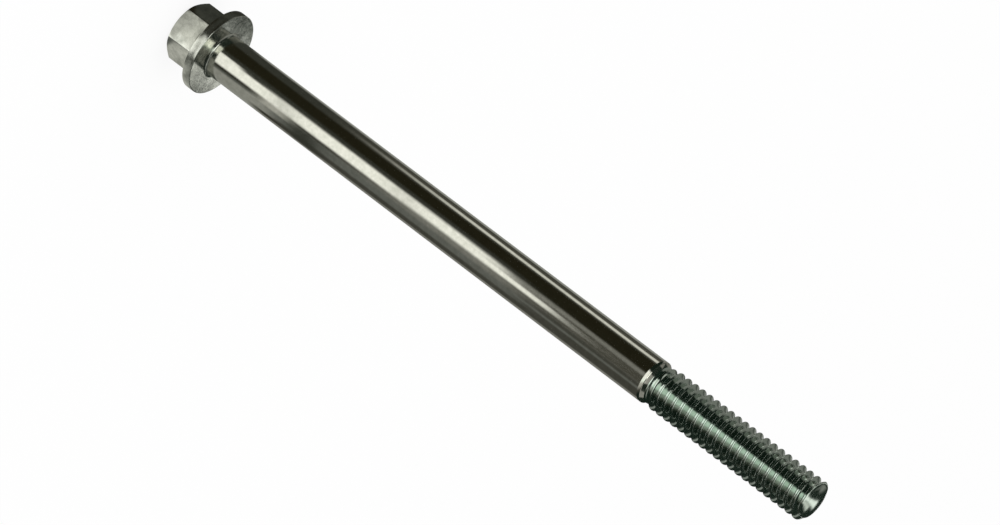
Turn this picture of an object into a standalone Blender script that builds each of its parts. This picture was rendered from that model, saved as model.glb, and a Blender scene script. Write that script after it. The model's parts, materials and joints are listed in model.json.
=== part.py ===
"""Seat mounting bolt, forged and rolled as one piece of steel.

A hexagon head with a chamfered end runs into a round flange. Under it are a small fillet, a long plain
shank, a shoulder, and a right-hand rolled thread that grows out of the bare blank and ends in a chamfered point.

Metres, +Z up. The bolt stands on its head: the origin is the centre of the head's flat end, and +Z runs along
the axis to the point. One of the hexagon's flats faces -Y.
"""

import math

import bmesh
import bpy
from mathutils import Matrix

# Head
HEAD_HEIGHT = 0.0066
ACROSS_FLATS = 0.00794
HEAD_FACE_DIAMETER = 0.00752
HEAD_CHAMFER_ANGLE = math.radians(30)

# Flange, measured from the bearing face
FLANGE_DIAMETER = 0.0124
FLANGE_RIM_HEIGHT = 0.0014
FLANGE_EDGE_RADIUS = 0.0003
FLANGE_SLOPE = math.radians(26)
FLANGE_ROOT_RADIUS = 0.0007
FLANGE_ROOT_INSET = 0.00009

# Shank
LENGTH_UNDER_HEAD = 0.1075
SHANK_DIAMETER = 0.00635
UNDER_HEAD_FILLET = 0.0004
SHOULDER_ANGLE = math.radians(40)

# Thread, with 60 degree flanks
MAJOR_DIAMETER = 0.00635
THREAD_PITCH = 0.00127
THREAD_LENGTH = 0.028
FLANK_ANGLE = math.radians(30)
CREST_FLAT = THREAD_PITCH / 8
ROOT_FLAT = THREAD_PITCH / 4
RUN_OUT_LENGTH = 0.0014
THREAD_START = math.radians(0)
POINT_DIAMETER = 0.0059
POINT_CHAMFER_ANGLE = math.radians(45)

# Facets
HEAD_SIDES = 6
SEGMENTS = 36
ARC_STEPS = 3
SMOOTH_ANGLE = math.radians(25)

# Distances by which the working shapes overlap or pass each other before they are joined or cut
OVERLAP = 0.0015
WELD_DISTANCE = 1e-8

# Heights along the axis
BEARING_HEIGHT = HEAD_HEIGHT
POINT_HEIGHT = BEARING_HEIGHT + LENGTH_UNDER_HEAD
SHOULDER_HEIGHT = POINT_HEIGHT - THREAD_LENGTH

# Radius of the head's corners
CORNER_RADIUS = ACROSS_FLATS / (2 * math.cos(math.pi / HEAD_SIDES))

# Radii of the thread
MAJOR_RADIUS = MAJOR_DIAMETER / 2
FLANK_LENGTH = (THREAD_PITCH - CREST_FLAT - ROOT_FLAT) / 2
ROOT_RADIUS = MAJOR_RADIUS - FLANK_LENGTH / math.tan(FLANK_ANGLE)
BLANK_RADIUS = MAJOR_RADIUS - (THREAD_PITCH / 2 - CREST_FLAT) / (2 * math.tan(FLANK_ANGLE))


def clear_scene():
    """Removes every object that the file opened with."""
    for obj in list(bpy.data.objects):
        bpy.data.objects.remove(obj, do_unlink=True)


def arc(centre_r, centre_z, radius, start, end, steps=ARC_STEPS):
    """Points (r, z) along an arc, both ends included; angles are in degrees from +r towards +z."""
    points = []
    for step in range(steps + 1):
        angle = math.radians(start + (end - start) * step / steps)
        points.append((centre_r + radius * math.cos(angle), centre_z + radius * math.sin(angle)))
    return points


def flange_profile():
    """Outline of the flange from inside the head, over its sloped back and its rim, to the bearing face."""
    slope = math.degrees(FLANGE_SLOPE)
    rim_r = FLANGE_DIAMETER / 2
    back_z = BEARING_HEIGHT - FLANGE_RIM_HEIGHT
    edge = FLANGE_EDGE_RADIUS
    # The root arc is tangent to the sloped back, and stands upright just inside the hexagon's flats.
    root_r = ACROSS_FLATS / 2 - FLANGE_ROOT_INSET
    centre_r = root_r + FLANGE_ROOT_RADIUS
    back_drop = (rim_r - centre_r) * math.tan(FLANGE_SLOPE)
    centre_z = back_z - back_drop - FLANGE_ROOT_RADIUS / math.cos(FLANGE_SLOPE)
    root = arc(centre_r, centre_z, FLANGE_ROOT_RADIUS, 180, 90 + slope)
    # The rounded back edge starts where the slope is tangent to it, so it turns through the slope's complement.
    back_edge_z = back_z + edge * math.tan(math.radians(90 - slope) / 2)
    back_edge = arc(rim_r - edge, back_edge_z, edge, slope - 90, 0)
    bearing_edge = arc(rim_r - edge, BEARING_HEIGHT - edge, edge, 0, 90)
    return root + back_edge + bearing_edge


def shank_profile():
    """Outline from the fillet under the head, along the shank, to the foot of the shoulder."""
    shank_r = SHANK_DIAMETER / 2
    fillet = arc(
        shank_r + UNDER_HEAD_FILLET,
        BEARING_HEIGHT + UNDER_HEAD_FILLET,
        UNDER_HEAD_FILLET,
        270,
        180,
    )
    return fillet + [(shank_r, SHOULDER_HEIGHT), (BLANK_RADIUS, thread_base())]


def thread_base():
    """Height at which the shoulder has come down to the blank that the thread is rolled on."""
    return SHOULDER_HEIGHT + abs(SHANK_DIAMETER / 2 - BLANK_RADIUS) / math.tan(SHOULDER_ANGLE)


def tooth_corners():
    """Axial places of the tooth's four corners within one pitch, from the start of the crest."""
    root_start = CREST_FLAT + FLANK_LENGTH
    return [0.0, CREST_FLAT, root_start, root_start + ROOT_FLAT]


def tooth_share(place):
    """Height of the tooth at an axial place, from 0 at the root to 1 at the crest."""
    place = place % THREAD_PITCH
    crest_end, root_start, root_end = tooth_corners()[1:]
    if place <= crest_end:
        return 1.0
    if place < root_start:
        return (root_start - place) / FLANK_LENGTH
    if place <= root_end:
        return 0.0
    return (place - root_end) / FLANK_LENGTH


def thread_radius(turn, z):
    """Radius of the rolled surface at a share of a turn and a height, with the tooth growing over the run-out."""
    growth = min((z - thread_base()) / RUN_OUT_LENGTH, 1.0)
    rolled = ROOT_RADIUS + tooth_share(z - thread_base() - turn * THREAD_PITCH) * (MAJOR_RADIUS - ROOT_RADIUS)
    return BLANK_RADIUS + growth * (rolled - BLANK_RADIUS)


def ring_point(index, radius, z):
    """Point of a ring of facets that starts at the thread's starting angle."""
    angle = THREAD_START + 2 * math.pi * index / SEGMENTS
    return (radius * math.cos(angle), radius * math.sin(angle), z)


def add_turned_rings(bm, profile):
    """Adds a ring of points for each (r, z) of a turned profile."""
    return [[bm.verts.new(ring_point(i, r, z)) for i in range(SEGMENTS)] for r, z in profile]


def add_thread_rows(bm, top):
    """Adds a row of points along each corner of the tooth, rising one pitch a turn and held between both ends."""
    base = thread_base()
    # Two turns more than fill the height: the first starts a pitch below it, and the last ends above it.
    turns = math.ceil((top - base) / THREAD_PITCH) + 2
    rows = []
    for turn in range(turns):
        for corner in tooth_corners():
            row = []
            for i in range(SEGMENTS):
                share = i / SEGMENTS
                z = base + THREAD_PITCH * (turn - 1 + share) + corner
                z = min(max(z, base), top)
                row.append(bm.verts.new(ring_point(i, thread_radius(share, z), z)))
            rows.append(row)
    return rows


def add_ring_faces(bm, rings):
    """Joins each ring to the next."""
    for lower, upper in zip(rings, rings[1:]):
        for i in range(SEGMENTS):
            j = (i + 1) % SEGMENTS
            bm.faces.new((lower[i], lower[j], upper[j], upper[i]))


def add_thread_faces(bm, rows):
    """Joins each row to the next, and each row's end to the row that carries on one turn later."""
    corners = len(tooth_corners())
    for lower, upper, lower_on, upper_on in zip(rows, rows[1:], rows[corners:], rows[corners + 1 :]):
        for i in range(SEGMENTS - 1):
            bm.faces.new((lower[i], lower[i + 1], upper[i + 1], upper[i]))
        bm.faces.new((lower[-1], lower_on[0], upper_on[0], upper[-1]))


def new_object(name, bm):
    """Makes a mesh object in the scene from a bmesh, with its faces pointing outwards."""
    bmesh.ops.recalc_face_normals(bm, faces=bm.faces)
    mesh = bpy.data.meshes.new(name)
    bm.to_mesh(mesh)
    bm.free()
    obj = bpy.data.objects.new(name, mesh)
    bpy.context.scene.collection.objects.link(obj)
    return obj


def make_turned_body():
    """Flange, fillet, shank and thread in one closed skin; the thread runs on past the point's height."""
    bm = bmesh.new()
    rings = add_turned_rings(bm, flange_profile() + shank_profile())
    rows = add_thread_rows(bm, POINT_HEIGHT + OVERLAP)
    add_ring_faces(bm, rings)
    add_thread_faces(bm, rows)
    bm.faces.new(reversed(rings[0]))
    bm.faces.new(rows[-1])
    bmesh.ops.remove_doubles(bm, verts=bm.verts, dist=WELD_DISTANCE)
    bmesh.ops.dissolve_degenerate(bm, edges=bm.edges, dist=WELD_DISTANCE)
    return new_object("seat_bolt", bm)


def make_hexagon_bar():
    """Hexagon from below the head's end to the middle of the flange's rim."""
    bm = bmesh.new()
    height = BEARING_HEIGHT - FLANGE_RIM_HEIGHT / 2 + OVERLAP
    bmesh.ops.create_cone(
        bm,
        cap_ends=True,
        segments=HEAD_SIDES,
        radius1=CORNER_RADIUS,
        radius2=CORNER_RADIUS,
        depth=height,
    )
    bmesh.ops.translate(bm, verts=bm.verts, vec=(0, 0, height / 2 - OVERLAP))
    # The cone operator puts a corner on +Y, and half a flat further round a flat faces -Y.
    turn = Matrix.Rotation(math.pi / HEAD_SIDES, 4, "Z")
    bmesh.ops.transform(bm, matrix=turn, verts=bm.verts)
    return new_object("hexagon_bar", bm)


def make_end_envelope():
    """Turned shape whose two cones chamfer the head's end and the point, and whose flats cut both to length."""
    wide = max(FLANGE_DIAMETER / 2, CORNER_RADIUS) + OVERLAP
    face_r = HEAD_FACE_DIAMETER / 2
    point_r = POINT_DIAMETER / 2
    profile = [
        (face_r, 0.0),
        (wide, (wide - face_r) * math.tan(HEAD_CHAMFER_ANGLE)),
        (wide, POINT_HEIGHT - (wide - point_r) / math.tan(POINT_CHAMFER_ANGLE)),
        (point_r, POINT_HEIGHT),
    ]
    bm = bmesh.new()
    rings = add_turned_rings(bm, profile)
    add_ring_faces(bm, rings)
    bm.faces.new(reversed(rings[0]))
    bm.faces.new(rings[-1])
    return new_object("end_envelope", bm)


def combine(obj, helper, operation):
    """Joins or cuts obj with a helper shape and removes the helper."""
    modifier = obj.modifiers.new(operation.title(), "BOOLEAN")
    modifier.operation = operation
    modifier.solver = "EXACT"
    modifier.object = helper
    graph = bpy.context.evaluated_depsgraph_get()
    finished = bpy.data.meshes.new_from_object(obj.evaluated_get(graph))
    obj.modifiers.clear()
    obj.data = finished
    bpy.data.objects.remove(helper, do_unlink=True)


def steel():
    """Bright zinc-plated steel."""
    material = bpy.data.materials.new("plated_steel")
    material.use_nodes = True
    shader = material.node_tree.nodes["Principled BSDF"]
    shader.inputs["Base Color"].default_value = (0.56, 0.56, 0.52, 1.0)
    shader.inputs["Metallic"].default_value = 1.0
    shader.inputs["Roughness"].default_value = 0.28
    return material


def main():
    """Builds the bolt as one solid."""
    clear_scene()
    bolt = make_turned_body()
    combine(bolt, make_hexagon_bar(), "UNION")
    combine(bolt, make_end_envelope(), "INTERSECT")
    bolt.data.name = bolt.name
    bolt.data.materials.clear()
    bolt.data.materials.append(steel())
    bolt.data.shade_smooth()
    bolt.data.set_sharp_from_angle(angle=SMOOTH_ANGLE)


main()
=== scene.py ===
"""Looks of the seat mounting bolt: its fine mesh, its plated steel finishes, the camera and the studio.

The bolt is drawn as one closed skin. Its head, flange and shank are lofted ring by ring from the head's
end, and its thread is a sheet wrapped round the axis in a right-hand helix. Metres, +Z from the head to
the point.
"""

import json
import logging
import math
from collections.abc import Callable
from dataclasses import dataclass
from enum import Enum

import bmesh
import bpy
from mathutils import Matrix, Vector


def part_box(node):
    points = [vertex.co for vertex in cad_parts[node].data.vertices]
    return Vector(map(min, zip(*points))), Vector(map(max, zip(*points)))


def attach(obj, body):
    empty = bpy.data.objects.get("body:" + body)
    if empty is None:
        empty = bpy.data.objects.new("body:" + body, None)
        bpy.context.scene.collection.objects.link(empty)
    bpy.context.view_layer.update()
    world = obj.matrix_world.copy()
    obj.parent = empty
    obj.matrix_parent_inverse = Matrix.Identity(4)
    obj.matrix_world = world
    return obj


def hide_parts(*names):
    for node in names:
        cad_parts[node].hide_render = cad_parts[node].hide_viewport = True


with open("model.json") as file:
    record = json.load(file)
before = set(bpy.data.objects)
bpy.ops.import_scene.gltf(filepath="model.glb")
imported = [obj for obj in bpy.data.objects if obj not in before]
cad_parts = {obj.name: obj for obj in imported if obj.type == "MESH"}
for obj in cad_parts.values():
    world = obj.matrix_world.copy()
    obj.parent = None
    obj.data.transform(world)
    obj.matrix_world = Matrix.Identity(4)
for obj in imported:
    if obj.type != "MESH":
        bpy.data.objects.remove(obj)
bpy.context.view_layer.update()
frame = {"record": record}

log = logging.getLogger("seat_bolt")

MM = 0.001
FULL_TURN = 360.0
COLUMNS = 144
MERGE_DISTANCE = 5e-6
IN_PLACE = {"value": (0.0, 0.0, 0.0)}

Profile = list[tuple[float, float]]
Colour = tuple[float, float, float]


def mount_place(name: str) -> Vector:
    """Place of one of the record's mounts.

    Args:
        name: The mount's name.

    Returns:
        The mount's point, in metres.
    """
    for mount in frame["record"]["mounts"]:
        if mount["name"] == name:
            return Vector(mount["pos_m"])
    raise KeyError(name)


def arc(centre: tuple[float, float], radius: float, start: float, end: float, steps: int) -> Profile:
    """Points (r, z) along an arc, both ends included.

    Args:
        centre: The arc's centre (r, z).
        radius: The arc's radius.
        start: First angle in degrees, from +r towards +z.
        end: Last angle in degrees.
        steps: How many stretches the arc has.

    Returns:
        The arc's points in order.
    """
    points = []
    for step in range(steps + 1):
        angle = math.radians(start + (end - start) * step / steps)
        points.append((centre[0] + radius * math.cos(angle), centre[1] + radius * math.sin(angle)))
    return points


def column_angle(column: int) -> float:
    """Angle of a mesh column round the axis, in radians; the first is on a corner of the hexagon."""
    return 2 * math.pi * column / COLUMNS


def turned_ring(radius: float, z: float) -> list[Vector]:
    """Round ring of points, one on each column.

    Args:
        radius: The ring's radius.
        z: The ring's height.

    Returns:
        The ring's points.
    """
    angles = [column_angle(column) for column in range(COLUMNS)]
    return [Vector((radius * math.cos(angle), radius * math.sin(angle), z)) for angle in angles]


def select_edges(obj: bpy.types.Object, wanted: Callable[[bmesh.types.BMVert], bool]) -> None:
    """Selects the edges of an object in edit mode whose two ends both pass a test, and nothing else.

    Args:
        obj: The mesh object being edited.
        wanted: Function of a vertex that says whether it counts.
    """
    bpy.ops.mesh.select_all(action="DESELECT")
    bpy.ops.mesh.select_mode(type="EDGE")
    mesh = bmesh.from_edit_mesh(obj.data)
    for edge in mesh.edges:
        edge.select_set(all(wanted(vertex) for vertex in edge.verts))
    mesh.select_flush_mode()
    bmesh.update_edit_mesh(obj.data)


class RingLoft:
    """Skin drawn up from a filled circle, one extruded ring at a time."""

    def __init__(self, name: str, first: list[Vector]) -> None:
        """Adds the circle and shapes it to the first ring.

        Args:
            name: The new object's name.
            first: The first ring's points, one for each column.
        """
        bpy.ops.object.select_all(action="DESELECT")
        bpy.ops.mesh.primitive_circle_add(
            vertices=COLUMNS, radius=first[0].length, fill_type="NGON", location=(0.0, 0.0, 0.0)
        )
        self.obj = bpy.context.object
        self.obj.name = name
        bpy.ops.object.mode_set(mode="EDIT")
        bpy.ops.mesh.select_mode(type="EDGE")
        mesh = bmesh.from_edit_mesh(self.obj.data)
        columns = mesh.verts.layers.int.new("column")
        for column, vertex in enumerate(mesh.verts):
            vertex[columns] = column
            vertex.co = first[column]
        bmesh.update_edit_mesh(self.obj.data)
        bpy.ops.mesh.select_all(action="SELECT")

    def add(self, ring: list[Vector]) -> None:
        """Extrudes the open edge and shapes it to the next ring.

        Args:
            ring: The ring's points, one for each column.
        """
        bpy.ops.mesh.extrude_edges_move(TRANSFORM_OT_translate={"value": (0.0, 0.0, MM)})
        mesh = bmesh.from_edit_mesh(self.obj.data)
        columns = mesh.verts.layers.int["column"]
        for vertex in mesh.verts:
            if vertex.select:
                vertex.co = ring[vertex[columns]]
        bmesh.update_edit_mesh(self.obj.data)

    def finish(self) -> bpy.types.Object:
        """Leaves edit mode and returns the object."""
        bpy.ops.object.mode_set(mode="OBJECT")
        return self.obj


@dataclass
class FlangedHead:
    """Chamfered hexagon on a thin round flange, drawn from the head's end to the bearing face."""

    bearing_z: float
    across_flats: float
    flange_diameter: float
    face_diameter: float = 7.52 * MM
    chamfer_angle: float = math.radians(30)
    corner_radius: float = 0.16 * MM
    rim_height: float = 1.4 * MM
    rim_edge_radius: float = 0.12 * MM
    back_slope: float = math.radians(26)
    root_radius: float = 0.7 * MM
    root_inset: float = 0.09 * MM
    bearing_relief: float = 0.05 * MM
    crease_bevel: float = 0.05 * MM
    corner_steps: int = 3
    blend_rings: int = 6

    SIDES = 6
    EDGE_STEPS = 6
    CREASE_SEGMENTS = 3

    @property
    def rim_r(self) -> float:
        """Radius of the flange."""
        return self.flange_diameter / 2

    @property
    def root_centre(self) -> tuple[float, float]:
        """Places the arc between the hexagon and the flange's sloped back.

        Returns:
            The arc's centre (r, z).
        """
        centre_r = self.across_flats / 2 - self.root_inset + self.root_radius
        drop = (self.rim_r - centre_r) * math.tan(self.back_slope)
        centre_z = self.bearing_z - self.rim_height - drop - self.root_radius / math.cos(self.back_slope)
        return centre_r, centre_z

    def back_z(self, radius: float) -> float:
        """Height of the flange's back at a radius, on its root arc or on its slope.

        Args:
            radius: Distance from the axis.

        Returns:
            The height there.
        """
        centre_r, centre_z = self.root_centre
        if radius < centre_r - self.root_radius * math.sin(self.back_slope):
            return centre_z + math.sqrt(max(self.root_radius**2 - (radius - centre_r) ** 2, 0.0))
        return self.bearing_z - self.rim_height - (self.rim_r - radius) * math.tan(self.back_slope)

    def hexagon_point(self, column: int) -> Vector:
        """Point of the hexagon with rounded corners that belongs to a column.

        Args:
            column: The mesh column.

        Returns:
            The point, at height 0.
        """
        per_side = COLUMNS // self.SIDES
        side, place = divmod(column, per_side)
        side_turn = 2 * math.pi / self.SIDES
        half_turn = side_turn / 2

        def corner_point(corner: int, swing: float) -> Vector:
            """Point on a corner's arc.

            Args:
                corner: The corner, counted from the first column.
                swing: Angle from the corner's middle.

            Returns:
                The point, at height 0.
            """
            reach = (self.across_flats / 2 - self.corner_radius) / math.cos(half_turn)
            middle = corner * side_turn
            centre = Vector((reach * math.cos(middle), reach * math.sin(middle), 0.0))
            bearing = middle + swing
            return centre + self.corner_radius * Vector((math.cos(bearing), math.sin(bearing), 0.0))

        if place <= self.corner_steps:
            return corner_point(side, half_turn * place / self.corner_steps)
        left = per_side - place
        if left <= self.corner_steps:
            return corner_point(side + 1, -half_turn * left / self.corner_steps)
        share = (place - self.corner_steps) / (per_side - 2 * self.corner_steps)
        return corner_point(side, half_turn).lerp(corner_point(side + 1, -half_turn), share)

    def blended_point(self, column: int, share: float) -> Vector:
        """Point on the flange's back between the hexagon's foot and the first round ring.

        Args:
            column: The mesh column.
            share: 0 at the foot, 1 at the round ring.

        Returns:
            The point.
        """
        foot = self.hexagon_point(column)
        corner_r = self.across_flats / 2 / math.cos(math.pi / self.SIDES)
        round_r = corner_r + self.corner_radius
        even = column_angle(column)
        foot_angle = even + (math.atan2(foot.y, foot.x) - even + math.pi) % (2 * math.pi) - math.pi
        angle = foot_angle + (even - foot_angle) * share
        radius = foot.length + (round_r - foot.length) * share
        return Vector((radius * math.cos(angle), radius * math.sin(angle), self.back_z(radius)))

    def chamfer_depth(self, radius: float) -> float:
        """Height at which the head's chamfer reaches a radius."""
        return (radius - self.face_diameter / 2) * math.tan(self.chamfer_angle)

    def start(self) -> RingLoft:
        """Draws the head's end face, its chamfer and its walls.

        Returns:
            The loft, with its open edge at the hexagon's foot on the flange.
        """
        walls = [self.hexagon_point(column) for column in range(COLUMNS)]
        face = [point.normalized() * self.face_diameter / 2 for point in walls]
        loft = RingLoft("seat_bolt_body", face)
        loft.add([Vector((point.x, point.y, self.chamfer_depth(point.length))) for point in walls])
        loft.add([Vector((point.x, point.y, self.back_z(point.length))) for point in walls])
        return loft

    def draw_flange(self, loft: RingLoft) -> None:
        """Draws the flange's back, its rounded rim and its bearing face.

        Args:
            loft: The loft to carry on.
        """
        for ring in range(1, self.blend_rings + 1):
            share = ring / self.blend_rings
            loft.add([self.blended_point(column, share) for column in range(COLUMNS)])
        edge = self.rim_edge_radius
        slope = math.degrees(self.back_slope)
        back_edge_z = self.bearing_z - self.rim_height + edge * math.tan(math.radians(90 - slope) / 2)
        rim = arc((self.rim_r - edge, back_edge_z), edge, slope - 90, 0, self.EDGE_STEPS)
        front_edge_z = self.bearing_z - self.bearing_relief - edge
        rim += arc((self.rim_r - edge, front_edge_z), edge, 0, 90, self.EDGE_STEPS)
        for radius, z in rim:
            loft.add(turned_ring(radius, z))

    def round_creases(self, obj: bpy.types.Object) -> None:
        """Bevels the chamfer's edge on the hexagon's walls, and the edge of the end face.

        Args:
            obj: The bolt's object.
        """
        face_r = self.face_diameter / 2
        tolerance = MM / 1000

        def on_face_edge(vertex: bmesh.types.BMVert) -> bool:
            """Whether a vertex lies on the edge of the end face."""
            return abs(vertex.co.z) < tolerance and abs(vertex.co.xy.length - face_r) < tolerance

        def on_chamfer_edge(vertex: bmesh.types.BMVert) -> bool:
            """Tells whether a vertex lies where the chamfer meets the hexagon's walls.

            Args:
                vertex: The vertex.

            Returns:
                True if it does.
            """
            radius = vertex.co.xy.length
            off_chamfer = abs(vertex.co.z - self.chamfer_depth(radius))
            return radius > face_r + tolerance and off_chamfer < tolerance

        bpy.ops.object.mode_set(mode="EDIT")
        select_edges(obj, on_chamfer_edge)
        bpy.ops.mesh.bevel(offset=self.crease_bevel, segments=self.CREASE_SEGMENTS, affect="EDGES")
        select_edges(obj, on_face_edge)
        bpy.ops.mesh.bevel(offset=self.crease_bevel, segments=self.CREASE_SEGMENTS, affect="EDGES")
        bpy.ops.object.mode_set(mode="OBJECT")


@dataclass
class Shank:
    """Plain drawn shank, from the fillet under the head to the foot of the shoulder."""

    bearing_z: float
    shoulder_z: float
    blank_r: float
    diameter: float = 6.35 * MM
    fillet_radius: float = 0.4 * MM
    shoulder_angle: float = math.radians(40)
    shoulder_edge_radius: float = 0.25 * MM
    ring_spacing: float = 4 * MM

    FILLET_STEPS = 8
    EDGE_STEPS = 5

    @property
    def foot_z(self) -> float:
        """Height at which the shoulder has come down to the thread's blank."""
        return self.shoulder_z + (self.diameter / 2 - self.blank_r) / math.tan(self.shoulder_angle)

    def draw(self, loft: RingLoft) -> None:
        """Draws the fillet, the shank and the shoulder.

        Args:
            loft: The loft, with its open edge at the rim of the bearing face.
        """
        radius = self.diameter / 2
        fillet = self.fillet_radius
        profile = arc((radius + fillet, self.bearing_z + fillet), fillet, 270, 180, self.FILLET_STEPS)
        plain = self.shoulder_z - self.bearing_z
        for step in range(1, math.ceil(plain / self.ring_spacing)):
            profile.append((radius, self.bearing_z + step * self.ring_spacing))
        edge = self.shoulder_edge_radius
        turn = math.degrees(self.shoulder_angle)
        edge_z = self.shoulder_z - edge * math.tan(self.shoulder_angle / 2)
        profile = [point for point in profile if point[1] < edge_z]
        profile += arc((radius - edge, edge_z), edge, 0, turn, self.EDGE_STEPS)
        profile.append((self.blank_r, self.foot_z))
        for ring_r, z in profile:
            loft.add(turned_ring(ring_r, z))


@dataclass
class RolledThread:
    """Right-hand thread rolled on the blank, from its run-out at the shoulder to the chamfered point."""

    base_z: float
    point_z: float
    major_r: float
    pitch: float
    run_out: float = 1.4 * MM
    flank_angle: float = math.radians(30)
    rolled_rounding: float = 0.06
    point_diameter: float = 5.9 * MM
    point_angle: float = math.radians(45)
    dome_radius: float = 2.85 * MM
    dome_slope: float = math.radians(16)

    DOME_RINGS = 8
    ROWS_PER_TURN = 16
    ROUNDING_SAMPLES = 5
    CREST_SHARE = 1 / 8
    ROOT_SHARE = 1 / 4

    @property
    def flank_share(self) -> float:
        """Share of the pitch that one flank takes."""
        return (1 - self.CREST_SHARE - self.ROOT_SHARE) / 2

    @property
    def depth(self) -> float:
        """Depth of the thread from crest to root."""
        return self.flank_share * self.pitch / math.tan(self.flank_angle)

    @property
    def blank_r(self) -> float:
        """Radius of the blank, at which tooth and gap are equally wide."""
        tooth = self.pitch / 2 - self.CREST_SHARE * self.pitch
        return self.major_r - tooth / (2 * math.tan(self.flank_angle))

    def sharp_tooth(self, place: float) -> float:
        """Height of the tooth with sharp corners.

        Args:
            place: Share of the pitch, from one crest's edge.

        Returns:
            0 at the root to 1 at the crest.
        """
        from_crest = abs((place - self.CREST_SHARE / 2 + 0.5) % 1.0 - 0.5)
        return min(max((0.5 - self.ROOT_SHARE / 2 - from_crest) / self.flank_share, 0.0), 1.0)

    def tooth(self, place: float) -> float:
        """Height of the tooth with its rolled, rounded corners.

        Args:
            place: Share of the pitch, from one crest's edge.

        Returns:
            0 at the root to 1 at the crest.
        """
        total = 0.0
        for sample in range(self.ROUNDING_SAMPLES):
            offset = (sample / (self.ROUNDING_SAMPLES - 1) - 0.5) * self.rolled_rounding
            total += self.sharp_tooth(place + offset)
        return total / self.ROUNDING_SAMPLES

    def surface_r(self, turn: float, z: float) -> float:
        """Radius of the finished surface.

        Args:
            turn: Share of a turn round the axis.
            z: Height.

        Returns:
            The radius, with the run-out and the point's chamfer worked in.
        """
        place = (z - self.base_z) / self.pitch - turn
        growth = min((z - self.base_z) / self.run_out, 1.0)
        rolled = self.major_r - self.depth * (1 - self.tooth(place))
        chamfer = self.point_diameter / 2 + (self.point_z - z) * math.tan(self.point_angle)
        return min(self.blank_r + growth * (rolled - self.blank_r), chamfer)

    def build(self) -> bpy.types.Object:
        """Wraps a flat sheet round the axis, each turn's end meeting the next turn's start.

        Returns:
            The thread's object, open towards the shank.
        """
        turns = math.ceil((self.point_z - self.base_z) / self.pitch) + 1
        rows = turns * self.ROWS_PER_TURN
        bpy.ops.object.select_all(action="DESELECT")
        bpy.ops.mesh.primitive_grid_add(x_subdivisions=COLUMNS, y_subdivisions=rows, size=1.0)
        obj = bpy.context.object
        obj.name = "seat_bolt_thread"
        for vertex in obj.data.vertices:
            turn = vertex.co.x + 0.5
            row = (vertex.co.y + 0.5) * rows
            z = self.base_z + self.pitch * (row / self.ROWS_PER_TURN - 1 + turn)
            z = min(max(z, self.base_z), self.point_z)
            radius = self.surface_r(turn, z)
            angle = 2 * math.pi * turn
            vertex.co = (radius * math.cos(angle), radius * math.sin(angle), z)
        bpy.ops.object.mode_set(mode="EDIT")
        bpy.ops.mesh.select_all(action="SELECT")
        bpy.ops.mesh.remove_doubles(threshold=MERGE_DISTANCE)
        self.close_point(obj)
        bpy.ops.object.mode_set(mode="OBJECT")
        return obj

    def draw_dome_ring(self, obj: bpy.types.Object, share: float) -> None:
        """Extrudes the point's open edge inwards and sets it on the dome.

        Args:
            obj: The thread's object, in edit mode, with the open edge selected.
            share: Share of its distance from the axis that each point keeps.
        """
        sphere_r = self.dome_radius / math.sin(self.dome_slope)
        sphere_z = self.point_z - sphere_r * math.cos(self.dome_slope)
        bpy.ops.mesh.extrude_edges_move(TRANSFORM_OT_translate=IN_PLACE)
        mesh = bmesh.from_edit_mesh(obj.data)
        for vertex in mesh.verts:
            if vertex.select:
                flat = vertex.co.xy * share
                vertex.co = (flat.x, flat.y, sphere_z + math.sqrt(sphere_r**2 - flat.length_squared))
        bmesh.update_edit_mesh(obj.data)

    def close_point(self, obj: bpy.types.Object) -> None:
        """Closes the end of the point with the low dome that is left when the blank is cut off.

        Args:
            obj: The thread's object, in edit mode.
        """
        top = self.point_z - MERGE_DISTANCE
        select_edges(obj, lambda vertex: vertex.co.z > top)
        self.draw_dome_ring(obj, 2 * self.dome_radius / self.point_diameter)
        for ring in range(self.DOME_RINGS - 1, 0, -1):
            self.draw_dome_ring(obj, ring / (ring + 1))
        bpy.ops.mesh.extrude_edges_move(TRANSFORM_OT_translate=IN_PLACE)
        bpy.ops.mesh.merge(type="CENTER")


class Effect(Enum):
    """Shared surface effects, each a shader node group."""

    MOTTLE = "plating_mottle"
    DRAWN_MARKS = "drawn_marks"


MOTTLE_DETAIL = 4.0
MOTTLE_ROUGHNESS = 0.6
MARKS_DETAIL = 2.0
MARKS_STRETCH = (1.0, 1.0, 0.03)


def new_group(effect: Effect) -> bpy.types.NodeTree:
    """Makes the empty node group of an effect.

    Args:
        effect: The effect, which gives the group its name.

    Returns:
        The group, with a vector, a scale and a contrast in, and a value out.
    """
    group = bpy.data.node_groups.new(effect.value, "ShaderNodeTree")
    group.interface.new_socket("Vector", in_out="INPUT", socket_type="NodeSocketVector")
    group.interface.new_socket("Scale", in_out="INPUT", socket_type="NodeSocketFloat")
    group.interface.new_socket("Contrast", in_out="INPUT", socket_type="NodeSocketFloat")
    group.interface.new_socket("Value", in_out="OUTPUT", socket_type="NodeSocketFloat")
    return group


def contrast_to_output(group: bpy.types.NodeTree, value: bpy.types.NodeSocket) -> None:
    """Spreads a noise value about one half by the group's contrast, and puts it out.

    Args:
        group: The node group.
        value: The noise value's socket.
    """
    nodes, links = group.nodes, group.links
    group_in = nodes.get("Group Input") or nodes.new("NodeGroupInput")
    centred = nodes.new("ShaderNodeMath")
    centred.operation = "SUBTRACT"
    centred.inputs[1].default_value = 0.5
    spread = nodes.new("ShaderNodeMath")
    spread.operation = "MULTIPLY_ADD"
    spread.use_clamp = True
    spread.inputs[2].default_value = 0.5
    links.new(value, centred.inputs[0])
    links.new(centred.outputs[0], spread.inputs[0])
    links.new(group_in.outputs["Contrast"], spread.inputs[1])
    links.new(spread.outputs[0], nodes.new("NodeGroupOutput").inputs["Value"])


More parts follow.
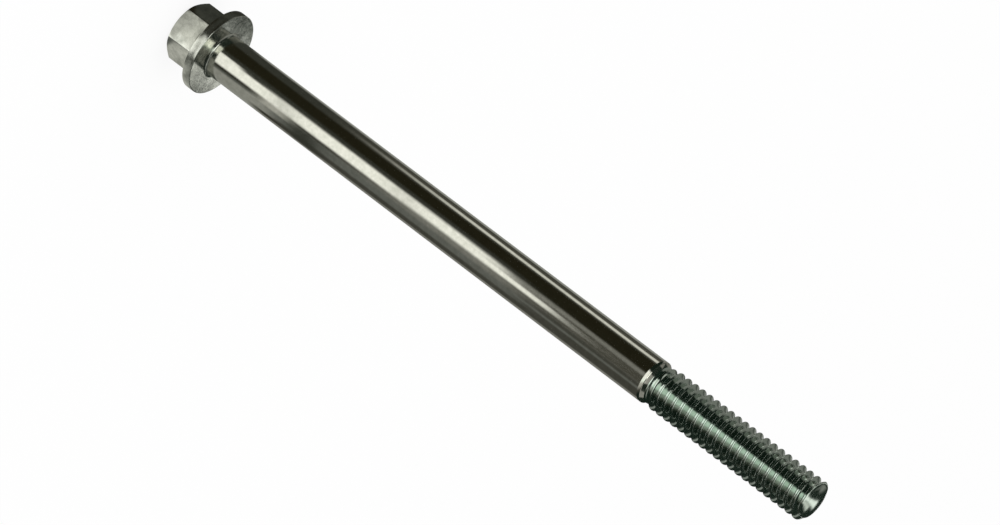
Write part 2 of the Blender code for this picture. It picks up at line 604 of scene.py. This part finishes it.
def mottle_group() -> bpy.types.NodeTree:
    """Makes the cloudy patches of plating, the same size in all directions.

    Returns:
        The node group.
    """
    group = new_group(Effect.MOTTLE)
    nodes, links = group.nodes, group.links
    group_in = nodes.new("NodeGroupInput")
    noise = nodes.new("ShaderNodeTexNoise")
    noise.inputs["Detail"].default_value = MOTTLE_DETAIL
    noise.inputs["Roughness"].default_value = MOTTLE_ROUGHNESS
    links.new(group_in.outputs["Vector"], noise.inputs["Vector"])
    links.new(group_in.outputs["Scale"], noise.inputs["Scale"])
    contrast_to_output(group, noise.outputs["Fac"])
    return group


def drawn_marks_group() -> bpy.types.NodeTree:
    """Makes the fine marks that run along the axis, as drawing leaves them.

    Returns:
        The node group.
    """
    group = new_group(Effect.DRAWN_MARKS)
    nodes, links = group.nodes, group.links
    group_in = nodes.new("NodeGroupInput")
    stretch = nodes.new("ShaderNodeMapping")
    stretch.inputs["Scale"].default_value = MARKS_STRETCH
    noise = nodes.new("ShaderNodeTexNoise")
    noise.inputs["Detail"].default_value = MARKS_DETAIL
    links.new(group_in.outputs["Vector"], stretch.inputs["Vector"])
    links.new(stretch.outputs["Vector"], noise.inputs["Vector"])
    links.new(group_in.outputs["Scale"], noise.inputs["Scale"])
    contrast_to_output(group, noise.outputs["Fac"])
    return group


@dataclass(frozen=True)
class SteelFinish:
    """Plated steel whose colour and gloss change in patches, with a fine grain in its surface."""

    name: str
    light: Colour
    dark: Colour
    patch_scale: float
    patch_contrast: float
    roughness: tuple[float, float]
    grain: Effect
    grain_scale: float
    grain_height: float
    grain_contrast: float = 1.6

    def material(self, groups: dict[Effect, bpy.types.NodeTree]) -> bpy.types.Material:
        """Makes the material.

        Args:
            groups: The shared effects' node groups.

        Returns:
            The material.
        """
        made = bpy.data.materials.new(self.name)
        made.use_nodes = True
        nodes, links = made.node_tree.nodes, made.node_tree.links
        shader = nodes["Principled BSDF"]
        shader.inputs["Metallic"].default_value = 1.0
        place = nodes.new("ShaderNodeTexCoord")

        patches = self.effect_node(made, groups[Effect.MOTTLE], self.patch_scale, self.patch_contrast)
        links.new(place.outputs["Object"], patches.inputs["Vector"])
        tint = nodes.new("ShaderNodeMix")
        tint.data_type = "RGBA"
        tint.inputs["A"].default_value = (*self.dark, 1.0)
        tint.inputs["B"].default_value = (*self.light, 1.0)
        links.new(patches.outputs["Value"], tint.inputs["Factor"])
        links.new(tint.outputs["Result"], shader.inputs["Base Color"])

        grain = self.effect_node(made, groups[self.grain], self.grain_scale, self.grain_contrast)
        links.new(place.outputs["Object"], grain.inputs["Vector"])
        gloss = nodes.new("ShaderNodeMapRange")
        gloss.inputs["To Min"].default_value = self.roughness[0]
        gloss.inputs["To Max"].default_value = self.roughness[1]
        links.new(grain.outputs["Value"], gloss.inputs["Value"])
        links.new(gloss.outputs["Result"], shader.inputs["Roughness"])

        bump = nodes.new("ShaderNodeBump")
        bump.inputs["Distance"].default_value = self.grain_height
        links.new(grain.outputs["Value"], bump.inputs["Height"])
        links.new(bump.outputs["Normal"], shader.inputs["Normal"])
        return made

    @staticmethod
    def effect_node(
        made: bpy.types.Material, group: bpy.types.NodeTree, scale: float, contrast: float
    ) -> bpy.types.Node:
        """Places a shared effect in a material.

        Args:
            made: The material.
            group: The effect's node group.
            scale: Patches or marks to a metre.
            contrast: How far they spread from their middle value.

        Returns:
            The group's node.
        """
        node = made.node_tree.nodes.new("ShaderNodeGroup")
        node.node_tree = group
        node.inputs["Scale"].default_value = scale
        node.inputs["Contrast"].default_value = contrast
        return node


FORGED_HEAD = SteelFinish(
    name="forged_head",
    light=(0.74, 0.75, 0.69),
    dark=(0.40, 0.41, 0.37),
    patch_scale=560.0,
    patch_contrast=3.2,
    roughness=(0.13, 0.24),
    grain=Effect.MOTTLE,
    grain_scale=2200.0,
    grain_height=0.006 * MM,
)
DRAWN_SHANK = SteelFinish(
    name="drawn_shank",
    light=(0.73, 0.72, 0.66),
    dark=(0.55, 0.55, 0.49),
    patch_scale=1300.0,
    patch_contrast=2.0,
    roughness=(0.08, 0.13),
    grain=Effect.DRAWN_MARKS,
    grain_scale=4200.0,
    grain_height=0.0015 * MM,
)
ROLLED_THREAD = SteelFinish(
    name="rolled_thread",
    light=(0.64, 0.71, 0.65),
    dark=(0.46, 0.53, 0.47),
    patch_scale=900.0,
    patch_contrast=2.4,
    roughness=(0.08, 0.15),
    grain=Effect.MOTTLE,
    grain_scale=2000.0,
    grain_height=0.002 * MM,
)


@dataclass
class SeatBolt:
    """The whole bolt, as one closed piece that stands for the CAD node."""

    head: FlangedHead
    shank: Shank
    thread: RolledThread
    smooth_angle: float = math.radians(35)

    NODE = "seat_bolt"
    SLOT = "plated_steel"
    BODY = "root"

    def build(self) -> bpy.types.Object:
        """Draws the skin, welds the thread to it and rounds its creases.

        Returns:
            The finished object.
        """
        loft = self.head.start()
        self.head.draw_flange(loft)
        self.shank.draw(loft)
        body = loft.finish()
        thread = self.thread.build()
        bpy.ops.object.select_all(action="DESELECT")
        thread.select_set(True)
        body.select_set(True)
        bpy.context.view_layer.objects.active = body
        bpy.ops.object.join()
        bpy.ops.object.mode_set(mode="EDIT")
        bpy.ops.mesh.select_all(action="SELECT")
        bpy.ops.mesh.remove_doubles(threshold=MERGE_DISTANCE)
        bpy.ops.mesh.normals_make_consistent(inside=False)
        bpy.ops.object.mode_set(mode="OBJECT")
        self.head.round_creases(body)
        bpy.ops.object.shade_smooth_by_angle(angle=self.smooth_angle)
        return body

    def dress(self, obj: bpy.types.Object, groups: dict[Effect, bpy.types.NodeTree]) -> None:
        """Gives head, shank and thread their finishes.

        Args:
            obj: The bolt's object.
            groups: The shared effects' node groups.
        """
        obj.data.materials.clear()
        for finish in (FORGED_HEAD, DRAWN_SHANK, ROLLED_THREAD):
            obj.data.materials.append(finish.material(groups))
        limits = (self.shank.bearing_z + self.shank.fillet_radius, self.thread.base_z)
        for face in obj.data.polygons:
            face.material_index = sum(face.center.z > limit for limit in limits)

    def join_frame(self, obj: bpy.types.Object) -> None:
        """Puts the bolt in the CAD node's place, on the frame's body.

        Args:
            obj: The bolt's object.
        """
        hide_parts(self.NODE)
        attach(obj, self.BODY)


class Tone(Enum):
    """Brightness and tint of what the bolt mirrors, as linear colours: glowing cards and grounds that
    only its reflections show, painting its highlights and dark stripes.
    """

    GLARE = (2.60, 2.64, 2.46)
    CREAM = (1.26, 1.27, 1.21)
    MINT = (1.15, 1.26, 1.16)
    CHALK = (0.82, 0.82, 0.76)
    PAPER = (0.62, 0.62, 0.58)
    SILVER = (0.52, 0.52, 0.48)
    PEARL = (0.34, 0.345, 0.32)
    STONE = (0.24, 0.24, 0.22)
    SLATE = (0.15, 0.157, 0.145)
    SHADE = (0.082, 0.080, 0.066)
    FOG = (0.068, 0.068, 0.058)
    DUSK = (0.046, 0.048, 0.040)
    BLACK = (0.018, 0.0165, 0.009)
    PINE = (0.010, 0.018, 0.013)
    MOSS = (0.013, 0.022, 0.016)


@dataclass(frozen=True)
class Card:
    """Soft-edged glowing card of one tone, which covers a sector of a backdrop and paints a reflection on
    the bolt.

    Azimuths and feather are in degrees, 0 towards -Y and 90 towards +X. Reach and fade are distances from
    the axis in millimetres on a board, and elevations in degrees on the walls.
    """

    azimuths: tuple[float, float]
    feather: float
    reach: tuple[float, float]
    fade: float
    tone: Tone


class CardPainter:
    """Lays cards over one another in a shader's nodes."""

    def __init__(self, tree: bpy.types.NodeTree) -> None:
        """Keeps the tree that is painted in.

        Args:
            tree: The node tree of a material or a world.
        """
        self.nodes = tree.nodes
        self.links = tree.links

    def math(self, operation: str, *values: bpy.types.NodeSocket | float) -> bpy.types.NodeSocket:
        """Adds a Math node.

        Args:
            operation: The node's operation.
            *values: Its inputs, as sockets or numbers.

        Returns:
            The result's socket.
        """
        node = self.nodes.new("ShaderNodeMath")
        node.operation = operation
        for slot, value in zip(node.inputs, values):
            if isinstance(value, bpy.types.NodeSocket):
                self.links.new(value, slot)
            else:
                slot.default_value = value
        return node.outputs[0]

    def soft_step(self, value: bpy.types.NodeSocket, start: float, end: float) -> bpy.types.NodeSocket:
        """Goes smoothly from 0 to 1.

        Args:
            value: The value's socket.
            start: The value at which the step starts.
            end: The value at which it has ended, which may be below the start.

        Returns:
            The result's socket.
        """
        node = self.nodes.new("ShaderNodeMapRange")
        node.interpolation_type = "SMOOTHSTEP"
        node.inputs["From Min"].default_value = start
        node.inputs["From Max"].default_value = end
        self.links.new(value, node.inputs["Value"])
        return node.outputs["Result"]

    def azimuth(self, direction: bpy.types.NodeSocket) -> bpy.types.NodeSocket:
        """Azimuth of a direction from the bolt.

        Args:
            direction: The direction's socket.

        Returns:
            The azimuth's socket, as a share of a turn from -Y towards +X.
        """
        parts = self.nodes.new("ShaderNodeSeparateXYZ")
        self.links.new(direction, parts.inputs[0])
        angle = self.math("ARCTAN2", parts.outputs["X"], self.math("MULTIPLY", parts.outputs["Y"], -1.0))
        return self.math("DIVIDE", angle, 2 * math.pi)

    def cover(
        self, card: Card, azimuth: bpy.types.NodeSocket, reach: bpy.types.NodeSocket
    ) -> bpy.types.NodeSocket:
        """How far a card covers a place, from 0 to 1.

        Args:
            card: The card.
            azimuth: The place's azimuth, as a share of a turn.
            reach: The place's distance or elevation.

        Returns:
            The cover's socket.
        """
        middle = sum(card.azimuths) / 2 / FULL_TURN
        half = (card.azimuths[1] - card.azimuths[0]) / 2 / FULL_TURN
        soft = card.feather / 2 / FULL_TURN
        aside = self.math("PINGPONG", self.math("SUBTRACT", azimuth, middle), 0.5)
        across = self.soft_step(aside, half + soft, half - soft)
        near, far = card.reach
        entered = self.soft_step(reach, near - card.fade / 2, near + card.fade / 2)
        left = self.soft_step(reach, far + card.fade / 2, far - card.fade / 2)
        return self.math("MULTIPLY", across, self.math("MULTIPLY", entered, left))

    def paint(
        self,
        ground: Tone,
        cards: tuple[Card, ...],
        direction: bpy.types.NodeSocket,
        reach: bpy.types.NodeSocket,
    ) -> bpy.types.NodeSocket:
        """Lays the cards over the ground tone, the last on top.

        Args:
            ground: The tone where there is no card.
            cards: The cards, from the bottom up.
            direction: A direction or place, seen from the bolt.
            reach: Its distance or elevation.

        Returns:
            The colour's socket.
        """
        azimuth = self.azimuth(direction)
        colour: bpy.types.NodeSocket | None = None
        for card in cards:
            mix = self.nodes.new("ShaderNodeMix")
            mix.data_type = "RGBA"
            mix.inputs["A"].default_value = (*ground.value, 1.0)
            if colour is not None:
                self.links.new(colour, mix.inputs["A"])
            mix.inputs["B"].default_value = (*card.tone.value, 1.0)
            self.links.new(self.cover(card, azimuth, reach), mix.inputs["Factor"])
            colour = mix.outputs["Result"]
        return colour


# Painted reflections: glowing cards on the floor board, which only the bolt's reflections show; each
# group paints the highlight or dark stripe its heading names.
FLOOR_CARDS = (
    # Upper edge of the shank, and the thin light line beside it
    Card((-150, -78), 16, (16, 3000), 8, Tone.DUSK),
    Card((-124, -80), 16, (70, 3000), 50, Tone.SHADE),
    Card((-102, -86), 8, (92, 3000), 66, Tone.CHALK),
    Card((-178, -134), 16, (24, 3000), 8, Tone.PEARL),
    # Lower side of the shank
    Card((56, 104), 20, (0, 3000), 40, Tone.SLATE),
    Card((38, 64), 18, (80, 3000), 50, Tone.STONE),
    Card((100, 136), 20, (40, 3000), 30, Tone.FOG),
    Card((44, 128), 24, (146, 3000), 10, Tone.FOG),
    Card((67, 79), 10, (146, 3000), 10, Tone.SLATE),
    Card((132, 178), 14, (24, 3000), 8, Tone.STONE),
    Card((66, 110), 10, (0, 41), 8, Tone.PEARL),
    Card((104, 170), 14, (0, 34), 8, Tone.PEARL),
    Card((42, 70), 10, (36, 48), 8, Tone.SILVER),
    Card((58, 140), 16, (48, 60), 8, Tone.DUSK),
    # Broad bright stripe
    Card((-12, 46), 14, (146, 3000), 10, Tone.SHADE),
    Card((-9, 7), 12, (142, 188), 10, Tone.STONE),
    Card((-9, 9), 10, (188, 3000), 10, Tone.STONE),
    Card((-26, 4), 14, (20, 146), 8, Tone.DUSK),
    Card((0, 42), 12, (0, 43), 12, Tone.CREAM),
    Card((-5, 43), 16, (43, 96), 24, Tone.CREAM),
    Card((-5.5, 37), 20, (96, 138), 12, Tone.CREAM),
    Card((17, 36), 10, (130, 161), 8, Tone.CREAM),
    # What the hexagon and the root of the flange mirror, close to the bolt's foot
    Card((-160, -60), 16, (0, 15), 3, Tone.DUSK),
    Card((-24, 4), 8, (0, 9), 3, Tone.PAPER),
    Card((-14, 4), 6, (8, 14), 3, Tone.CHALK),
    Card((2, 10), 4, (0, 14), 3, Tone.CHALK),
    Card((0, 23), 8, (0, 6.5), 2, Tone.PAPER),
    Card((33, 60), 12, (0, 15), 3, Tone.SLATE),
    Card((64, 170), 20, (0, 15), 4, Tone.SILVER),
    # What the lower and the upper half of the flange's rim mirror
    Card((-105, 0), 12, (16, 20.5), 1, Tone.DUSK),
    Card((30, 60), 12, (16, 20.5), 1, Tone.SLATE),
    Card((-6, 27), 14, (16, 18.6), 1, Tone.CHALK),
    Card((5, 60), 8, (18.4, 21), 1, Tone.DUSK),
    Card((-13, 4), 8, (18.4, 20.5), 1, Tone.CREAM),
    Card((50, 120), 10, (16, 20.5), 1, Tone.PEARL),
    # The foot of the stripe
    Card((-9, 12), 8, (20.7, 27), 4, Tone.CREAM),
)

# Painted reflections: glowing cards on the ring-shaped shelf round the thread, which only the bolt's
# reflections show.
THREAD_CARDS = (
    Card((-150, -75), 10, (0, 400), 4, Tone.STONE),
    Card((24, 56), 22, (0, 400), 4, Tone.SHADE),
    Card((8, 41), 22, (0, 400), 4, Tone.SILVER),
    Card((-7, 22), 14, (0, 400), 4, Tone.MINT),
    # The foot of the shoulder
    Card((-18, 10), 10, (0, 8.5), 3, Tone.CREAM),
)

# Painted reflections: glowing cards on the world's walls, which only the bolt's reflections show.
WALL_CARDS = (
    # In front, mirrored twice between the flange and the shank
    Card((38, 118), 16, (10, 37), 6, Tone.PEARL),
    Card((110, 160), 16, (20, 29), 4, Tone.PEARL),
    Card((-150, -92), 10, (16, 33), 6, Tone.STONE),
    Card((-31, 8), 8, (14, 42), 8, Tone.GLARE),
    # Higher in front, mirrored by the shoulder
    Card((-27, 40), 10, (50, 64), 6, Tone.PEARL),
    Card((-27, 40), 10, (42, 50), 5, Tone.CREAM),
    Card((-112, -72), 10, (42, 80), 6, Tone.SILVER),
    # Behind, mirrored by the bearing face and the point's end
    Card((170.5, 176), 4, (31, 75), 5, Tone.CHALK),
    Card((176.9, 181.8), 2.5, (17, 75), 6, Tone.CREAM),
    Card((188.5, 200), 4, (-20, 31), 5, Tone.STONE),
    Card((193, 212), 5, (31, 75), 5, Tone.STONE),
    Card((-156, -130), 12, (0, 60), 12, Tone.STONE),
)


@dataclass
class Studio:
    """Pale floor, soft light, and the cards whose reflections make the bolt's long stripes."""

    floor_size: float = 8.0
    floor_drop: float = 0.1 * MM
    floor_colour: Colour = (0.85, 0.85, 0.85)
    floor_shade_share: float = 0.12
    board_drop: float = 0.05 * MM
    board_radius: float = 2.5
    shelf_z: float = 85.5 * MM
    shelf_radii: tuple[float, float] = (3.5 * MM, 100 * MM)
    softbox_place: tuple[float, float, float] = (-0.12, -0.5, 0.86)
    softbox_size: tuple[float, float] = (0.46, 0.65)
    softbox_radiance: float = 2.0

    BOARD_SIDES = 96

    def build(self) -> None:
        """Makes the floor, the boards, the world and the softbox."""
        self.make_floor()
        floor_radii = (0.0, self.board_radius)
        self.make_board("floor_cards", floor_radii, -self.board_drop, Tone.BLACK, FLOOR_CARDS)
        self.make_board("thread_cards", self.shelf_radii, self.shelf_z, Tone.PINE, THREAD_CARDS)
        self.make_world()
        self.make_softbox()

    def make_floor(self) -> None:
        """Makes the plain white floor, which keeps a light share of the bolt's shadow."""
        bpy.ops.mesh.primitive_plane_add(size=self.floor_size, location=(0.0, 0.0, -self.floor_drop))
        floor = bpy.context.object
        floor.name = "studio_floor"
        paint = bpy.data.materials.new("floor_white")
        paint.use_nodes = True
        nodes, links = paint.node_tree.nodes, paint.node_tree.links
        nodes.clear()
        path = nodes.new("ShaderNodeLightPath")
        shade = nodes.new("ShaderNodeBsdfDiffuse")
        shade.inputs["Color"].default_value = (*self.floor_colour, 1.0)
        white = nodes.new("ShaderNodeEmission")
        white.inputs["Strength"].default_value = 1.0
        painter = CardPainter(paint.node_tree)
        glossy, through = path.outputs["Is Glossy Ray"], path.outputs["Is Transmission Ray"]
        mirrored = painter.math("MAXIMUM", glossy, through)
        seen = painter.math("MAXIMUM", path.outputs["Is Camera Ray"], mirrored)
        mix = nodes.new("ShaderNodeMixShader")
        links.new(painter.math("MULTIPLY", seen, 1.0 - self.floor_shade_share), mix.inputs["Fac"])
        links.new(shade.outputs[0], mix.inputs[1])
        links.new(white.outputs[0], mix.inputs[2])
        links.new(mix.outputs[0], nodes.new("ShaderNodeOutputMaterial").inputs["Surface"])
        floor.data.materials.append(paint)

    def make_board(
        self, name: str, radii: tuple[float, float], z: float, ground: Tone, cards: tuple[Card, ...]
    ) -> None:
        """Lays a round board with cards on it, which only the bolt's own reflections show.

        Args:
            name: The board's name.
            radii: Radius of the hole for the bolt, or 0, and of the board.
            z: The board's height.
            ground: Its tone where no card lies.
            cards: Its cards.
        """
        bpy.ops.mesh.primitive_circle_add(
            vertices=self.BOARD_SIDES, radius=radii[1], fill_type="NGON", location=(0.0, 0.0, z)
        )
        board = bpy.context.object
        board.name = name
        if radii[0] > 0:
            bpy.ops.object.mode_set(mode="EDIT")
            bpy.ops.mesh.select_all(action="SELECT")
            bpy.ops.mesh.inset(thickness=radii[1] - radii[0])
            bpy.ops.mesh.delete(type="FACE")
            bpy.ops.object.mode_set(mode="OBJECT")
        board.visible_camera = False
        board.visible_diffuse = False
        board.visible_transmission = False
        board.visible_shadow = False
        board.data.materials.append(self.board_material(name, ground, cards))

    @staticmethod
    def board_material(name: str, ground: Tone, cards: tuple[Card, ...]) -> bpy.types.Material:
        """Makes a board's glowing material, with its cards placed by azimuth and distance in millimetres.

        Args:
            name: The material's name.
            ground: Its tone where no card lies.
            cards: The cards.

        Returns:
            The material.
        """
        made = bpy.data.materials.new(name)
        made.use_nodes = True
        nodes, links = made.node_tree.nodes, made.node_tree.links
        nodes.clear()
        painter = CardPainter(made.node_tree)
        place = nodes.new("ShaderNodeTexCoord").outputs["Object"]
        length = nodes.new("ShaderNodeVectorMath")
        length.operation = "LENGTH"
        links.new(place, length.inputs[0])
        distance = painter.math("DIVIDE", length.outputs["Value"], MM)
        glow = nodes.new("ShaderNodeEmission")
        links.new(painter.paint(ground, cards, place, distance), glow.inputs["Color"])
        links.new(glow.outputs[0], nodes.new("ShaderNodeOutputMaterial").inputs["Surface"])
        made.cycles.emission_sampling = "NONE"
        return made

    def make_world(self) -> None:
        """Makes the world: plain white, but dim walls with cards in the bolt's reflections."""
        world = bpy.data.worlds.new("studio_world")
        bpy.context.scene.world = world
        world.use_nodes = True
        nodes, links = world.node_tree.nodes, world.node_tree.links
        nodes.clear()
        painter = CardPainter(world.node_tree)
        direction = nodes.new("ShaderNodeTexCoord").outputs["Generated"]
        parts = nodes.new("ShaderNodeSeparateXYZ")
        links.new(direction, parts.inputs[0])
        elevation = painter.math("DEGREES", painter.math("ARCSINE", parts.outputs["Z"]))
        mirrored = nodes.new("ShaderNodeBackground")
        links.new(painter.paint(Tone.MOSS, WALL_CARDS, direction, elevation), mirrored.inputs["Color"])
        plain = nodes.new("ShaderNodeBackground")
        plain.inputs["Color"].default_value = (1.0, 1.0, 1.0, 1.0)
        path = nodes.new("ShaderNodeLightPath")
        mix = nodes.new("ShaderNodeMixShader")
        links.new(path.outputs["Is Glossy Ray"], mix.inputs["Fac"])
        links.new(plain.outputs[0], mix.inputs[1])
        links.new(mirrored.outputs[0], mix.inputs[2])
        links.new(mix.outputs[0], nodes.new("ShaderNodeOutputWorld").inputs["Surface"])

    def make_softbox(self) -> None:
        """Makes the large soft lamp over the front of the bolt, which the bolt doesn't mirror."""
        lamp = bpy.data.lights.new("softbox", "AREA")
        lamp.shape = "RECTANGLE"
        lamp.size, lamp.size_y = self.softbox_size
        lamp.energy = self.softbox_radiance * math.pi * lamp.size * lamp.size_y
        holder = bpy.data.objects.new("softbox", lamp)
        holder.location = self.softbox_place
        holder.visible_camera = False
        holder.visible_glossy = False
        bpy.context.scene.collection.objects.link(holder)


@dataclass
class PhotoCamera:
    """Camera at the photograph's angle, turned so that the bolt lies from upper left to lower right."""

    target: Vector
    elevation: float = math.radians(24.3)
    roll: float = math.radians(37.09)
    distance: float = 1.35
    frame_width: float = 132.45 * MM
    sensor_width: float = 36.0

    def build(self) -> None:
        """Makes the camera and sets it as the scene's."""
        back = Vector((0.0, -math.cos(self.elevation), math.sin(self.elevation)))
        along = Vector((0.0, math.sin(self.elevation), math.cos(self.elevation)))
        across = Vector((1.0, 0.0, 0.0))
        right = along * math.cos(self.roll) - across * math.sin(self.roll)
        up = -along * math.sin(self.roll) - across * math.cos(self.roll)
        camera = bpy.data.cameras.new("photo_camera")
        camera.sensor_width = self.sensor_width
        camera.lens = self.sensor_width * self.distance / self.frame_width
        holder = bpy.data.objects.new("photo_camera", camera)
        placed = Matrix((right, up, back)).transposed().to_4x4()
        placed.translation = self.target + back * self.distance
        holder.matrix_world = placed
        bpy.context.scene.collection.objects.link(holder)
        bpy.context.scene.camera = holder


PHOTO_CENTRE = Vector((-0.32 * MM, 0.0, 57.81 * MM))
THREAD_PITCH = 1.27 * MM
THREAD_LENGTH = 28.0 * MM
MAJOR_DIAMETER = 6.35 * MM


def bolt_from_frame() -> SeatBolt:
    """Fits the bolt to the frame's box and mounts; the rest comes from the sizes in this file.

    Returns:
        The bolt, not yet built.
    """
    low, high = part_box(SeatBolt.NODE)
    bearing_z = mount_place("bearing_face").z
    flats = -2 * mount_place("spanner_flat").y
    shoulder_z = high.z - THREAD_LENGTH
    thread = RolledThread(
        base_z=shoulder_z, point_z=high.z, major_r=MAJOR_DIAMETER / 2, pitch=THREAD_PITCH
    )
    shank = Shank(bearing_z=bearing_z, shoulder_z=shoulder_z, blank_r=thread.blank_r)
    thread.base_z = shank.foot_z
    head = FlangedHead(bearing_z=bearing_z, across_flats=flats, flange_diameter=high.x - low.x)
    return SeatBolt(head=head, shank=shank, thread=thread)


def main() -> None:
    """Builds the bolt, its finishes, the camera and the studio."""
    logging.basicConfig(level=logging.INFO, format="%(name)s: %(message)s")
    bpy.context.scene.view_settings.view_transform = "Standard"
    groups = {Effect.MOTTLE: mottle_group(), Effect.DRAWN_MARKS: drawn_marks_group()}
    bolt = bolt_from_frame()
    piece = bolt.build()
    bolt.dress(piece, groups)
    bolt.join_frame(piece)
    log.info("%s: %d faces", piece.name, len(piece.data.polygons))
    PhotoCamera(target=PHOTO_CENTRE).build()
    log.info("camera placed")
    Studio().build()
    log.info("studio built")


if __name__ == "__main__":
    main()
